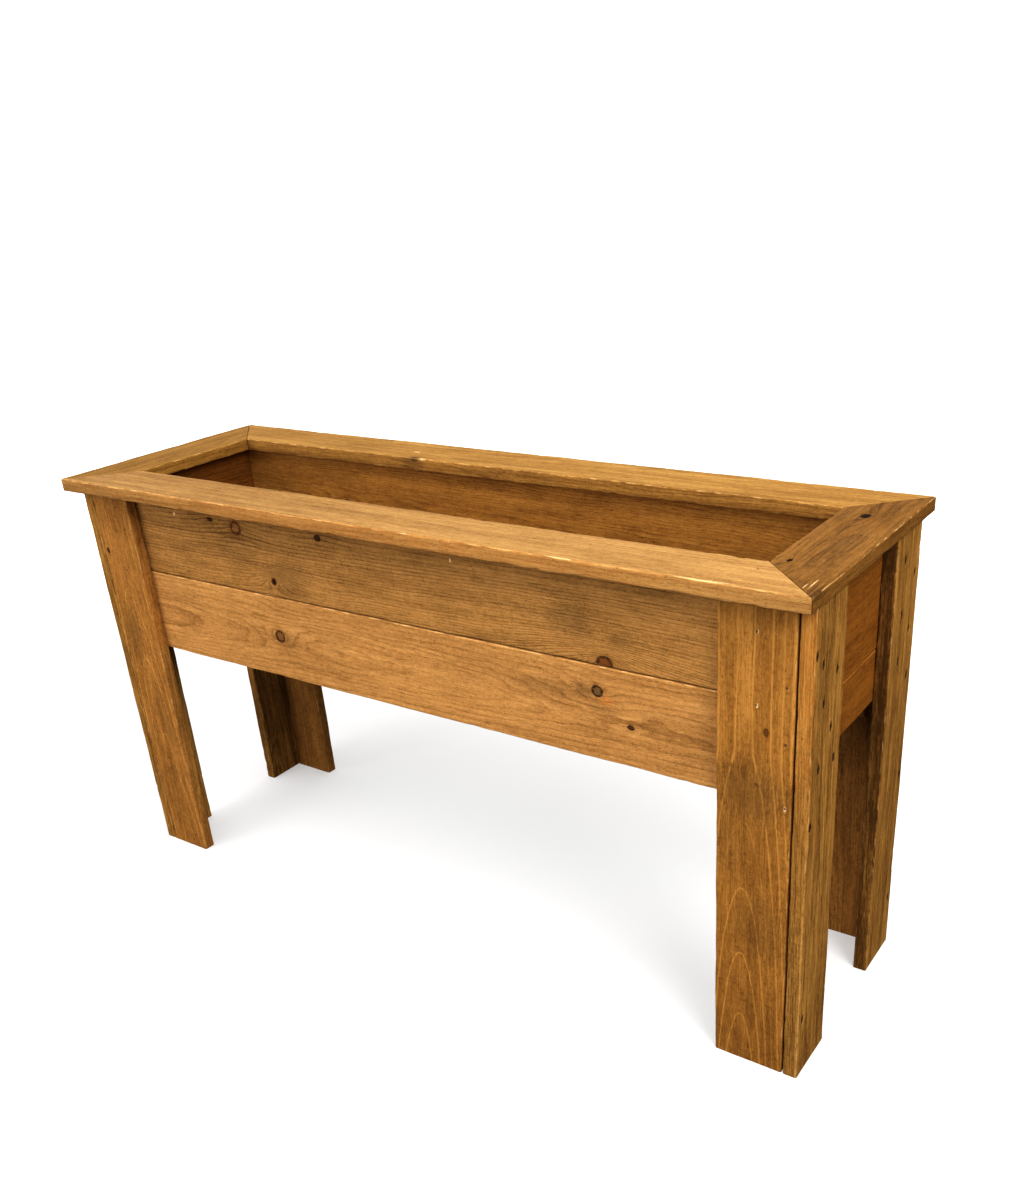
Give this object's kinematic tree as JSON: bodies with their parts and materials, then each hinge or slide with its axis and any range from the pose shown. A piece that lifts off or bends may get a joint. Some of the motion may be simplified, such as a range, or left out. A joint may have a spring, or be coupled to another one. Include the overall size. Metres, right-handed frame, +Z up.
{
  "type": "raised planter on legs",
  "caption": "Long raised planter: nailed softwood trough with a mitred flat rim, slatted floor and L-section board legs.",
  "frame": {"origin": "on the ground, below the centre of the trough", "axes": "+X along the length of the trough, +Y to the back, +Z up"},
  "size_m": [1.42, 0.452, 0.766],
  "materials": {
    "rim_wood": "golden brown translucent stain, worn pale on the outer edges",
    "wall_wood": "golden brown translucent stain over knotty sawn softwood",
    "leg_wood": "golden brown translucent stain over sawn softwood, vertical grain",
    "floor_wood": "thin brown stain over sawn softwood",
    "nail_steel": "bright nails dulled by weather"
  },
  "bodies": {
    "root": {"back_wall_lower": "wall_wood", "back_wall_upper": "wall_wood", "floor_cleat_back": "floor_wood", "floor_cleat_front": "floor_wood", "floor_slat_01": "floor_wood", "floor_slat_02": "floor_wood", "floor_slat_03": "floor_wood", "floor_slat_04": "floor_wood", "floor_slat_05": "floor_wood", "floor_slat_06": "floor_wood", "floor_slat_07": "floor_wood", "floor_slat_08": "floor_wood", "floor_slat_09": "floor_wood", "floor_slat_10": "floor_wood", "floor_slat_11": "floor_wood", "floor_slat_12": "floor_wood", "front_wall_lower": "wall_wood", "front_wall_upper": "wall_wood", "left_wall_lower": "wall_wood", "left_wall_upper": "wall_wood", "leg_back_left_end": "leg_wood", "leg_back_left_face": "leg_wood", "leg_back_right_end": "leg_wood", "leg_back_right_face": "leg_wood", "leg_front_left_end": "leg_wood", "leg_front_left_face": "leg_wood", "leg_front_right_end": "leg_wood", "leg_front_right_face": "leg_wood", "nails_cleat": "nail_steel", "nails_floor": "nail_steel", "nails_leg_end": "nail_steel", "nails_leg_face": "nail_steel", "nails_rim": "nail_steel", "nails_wall": "nail_steel", "right_wall_lower": "wall_wood", "right_wall_upper": "wall_wood", "rim_back": "rim_wood", "rim_front": "rim_wood", "rim_left": "rim_wood", "rim_right": "rim_wood"}
  },
  "joints": []
}
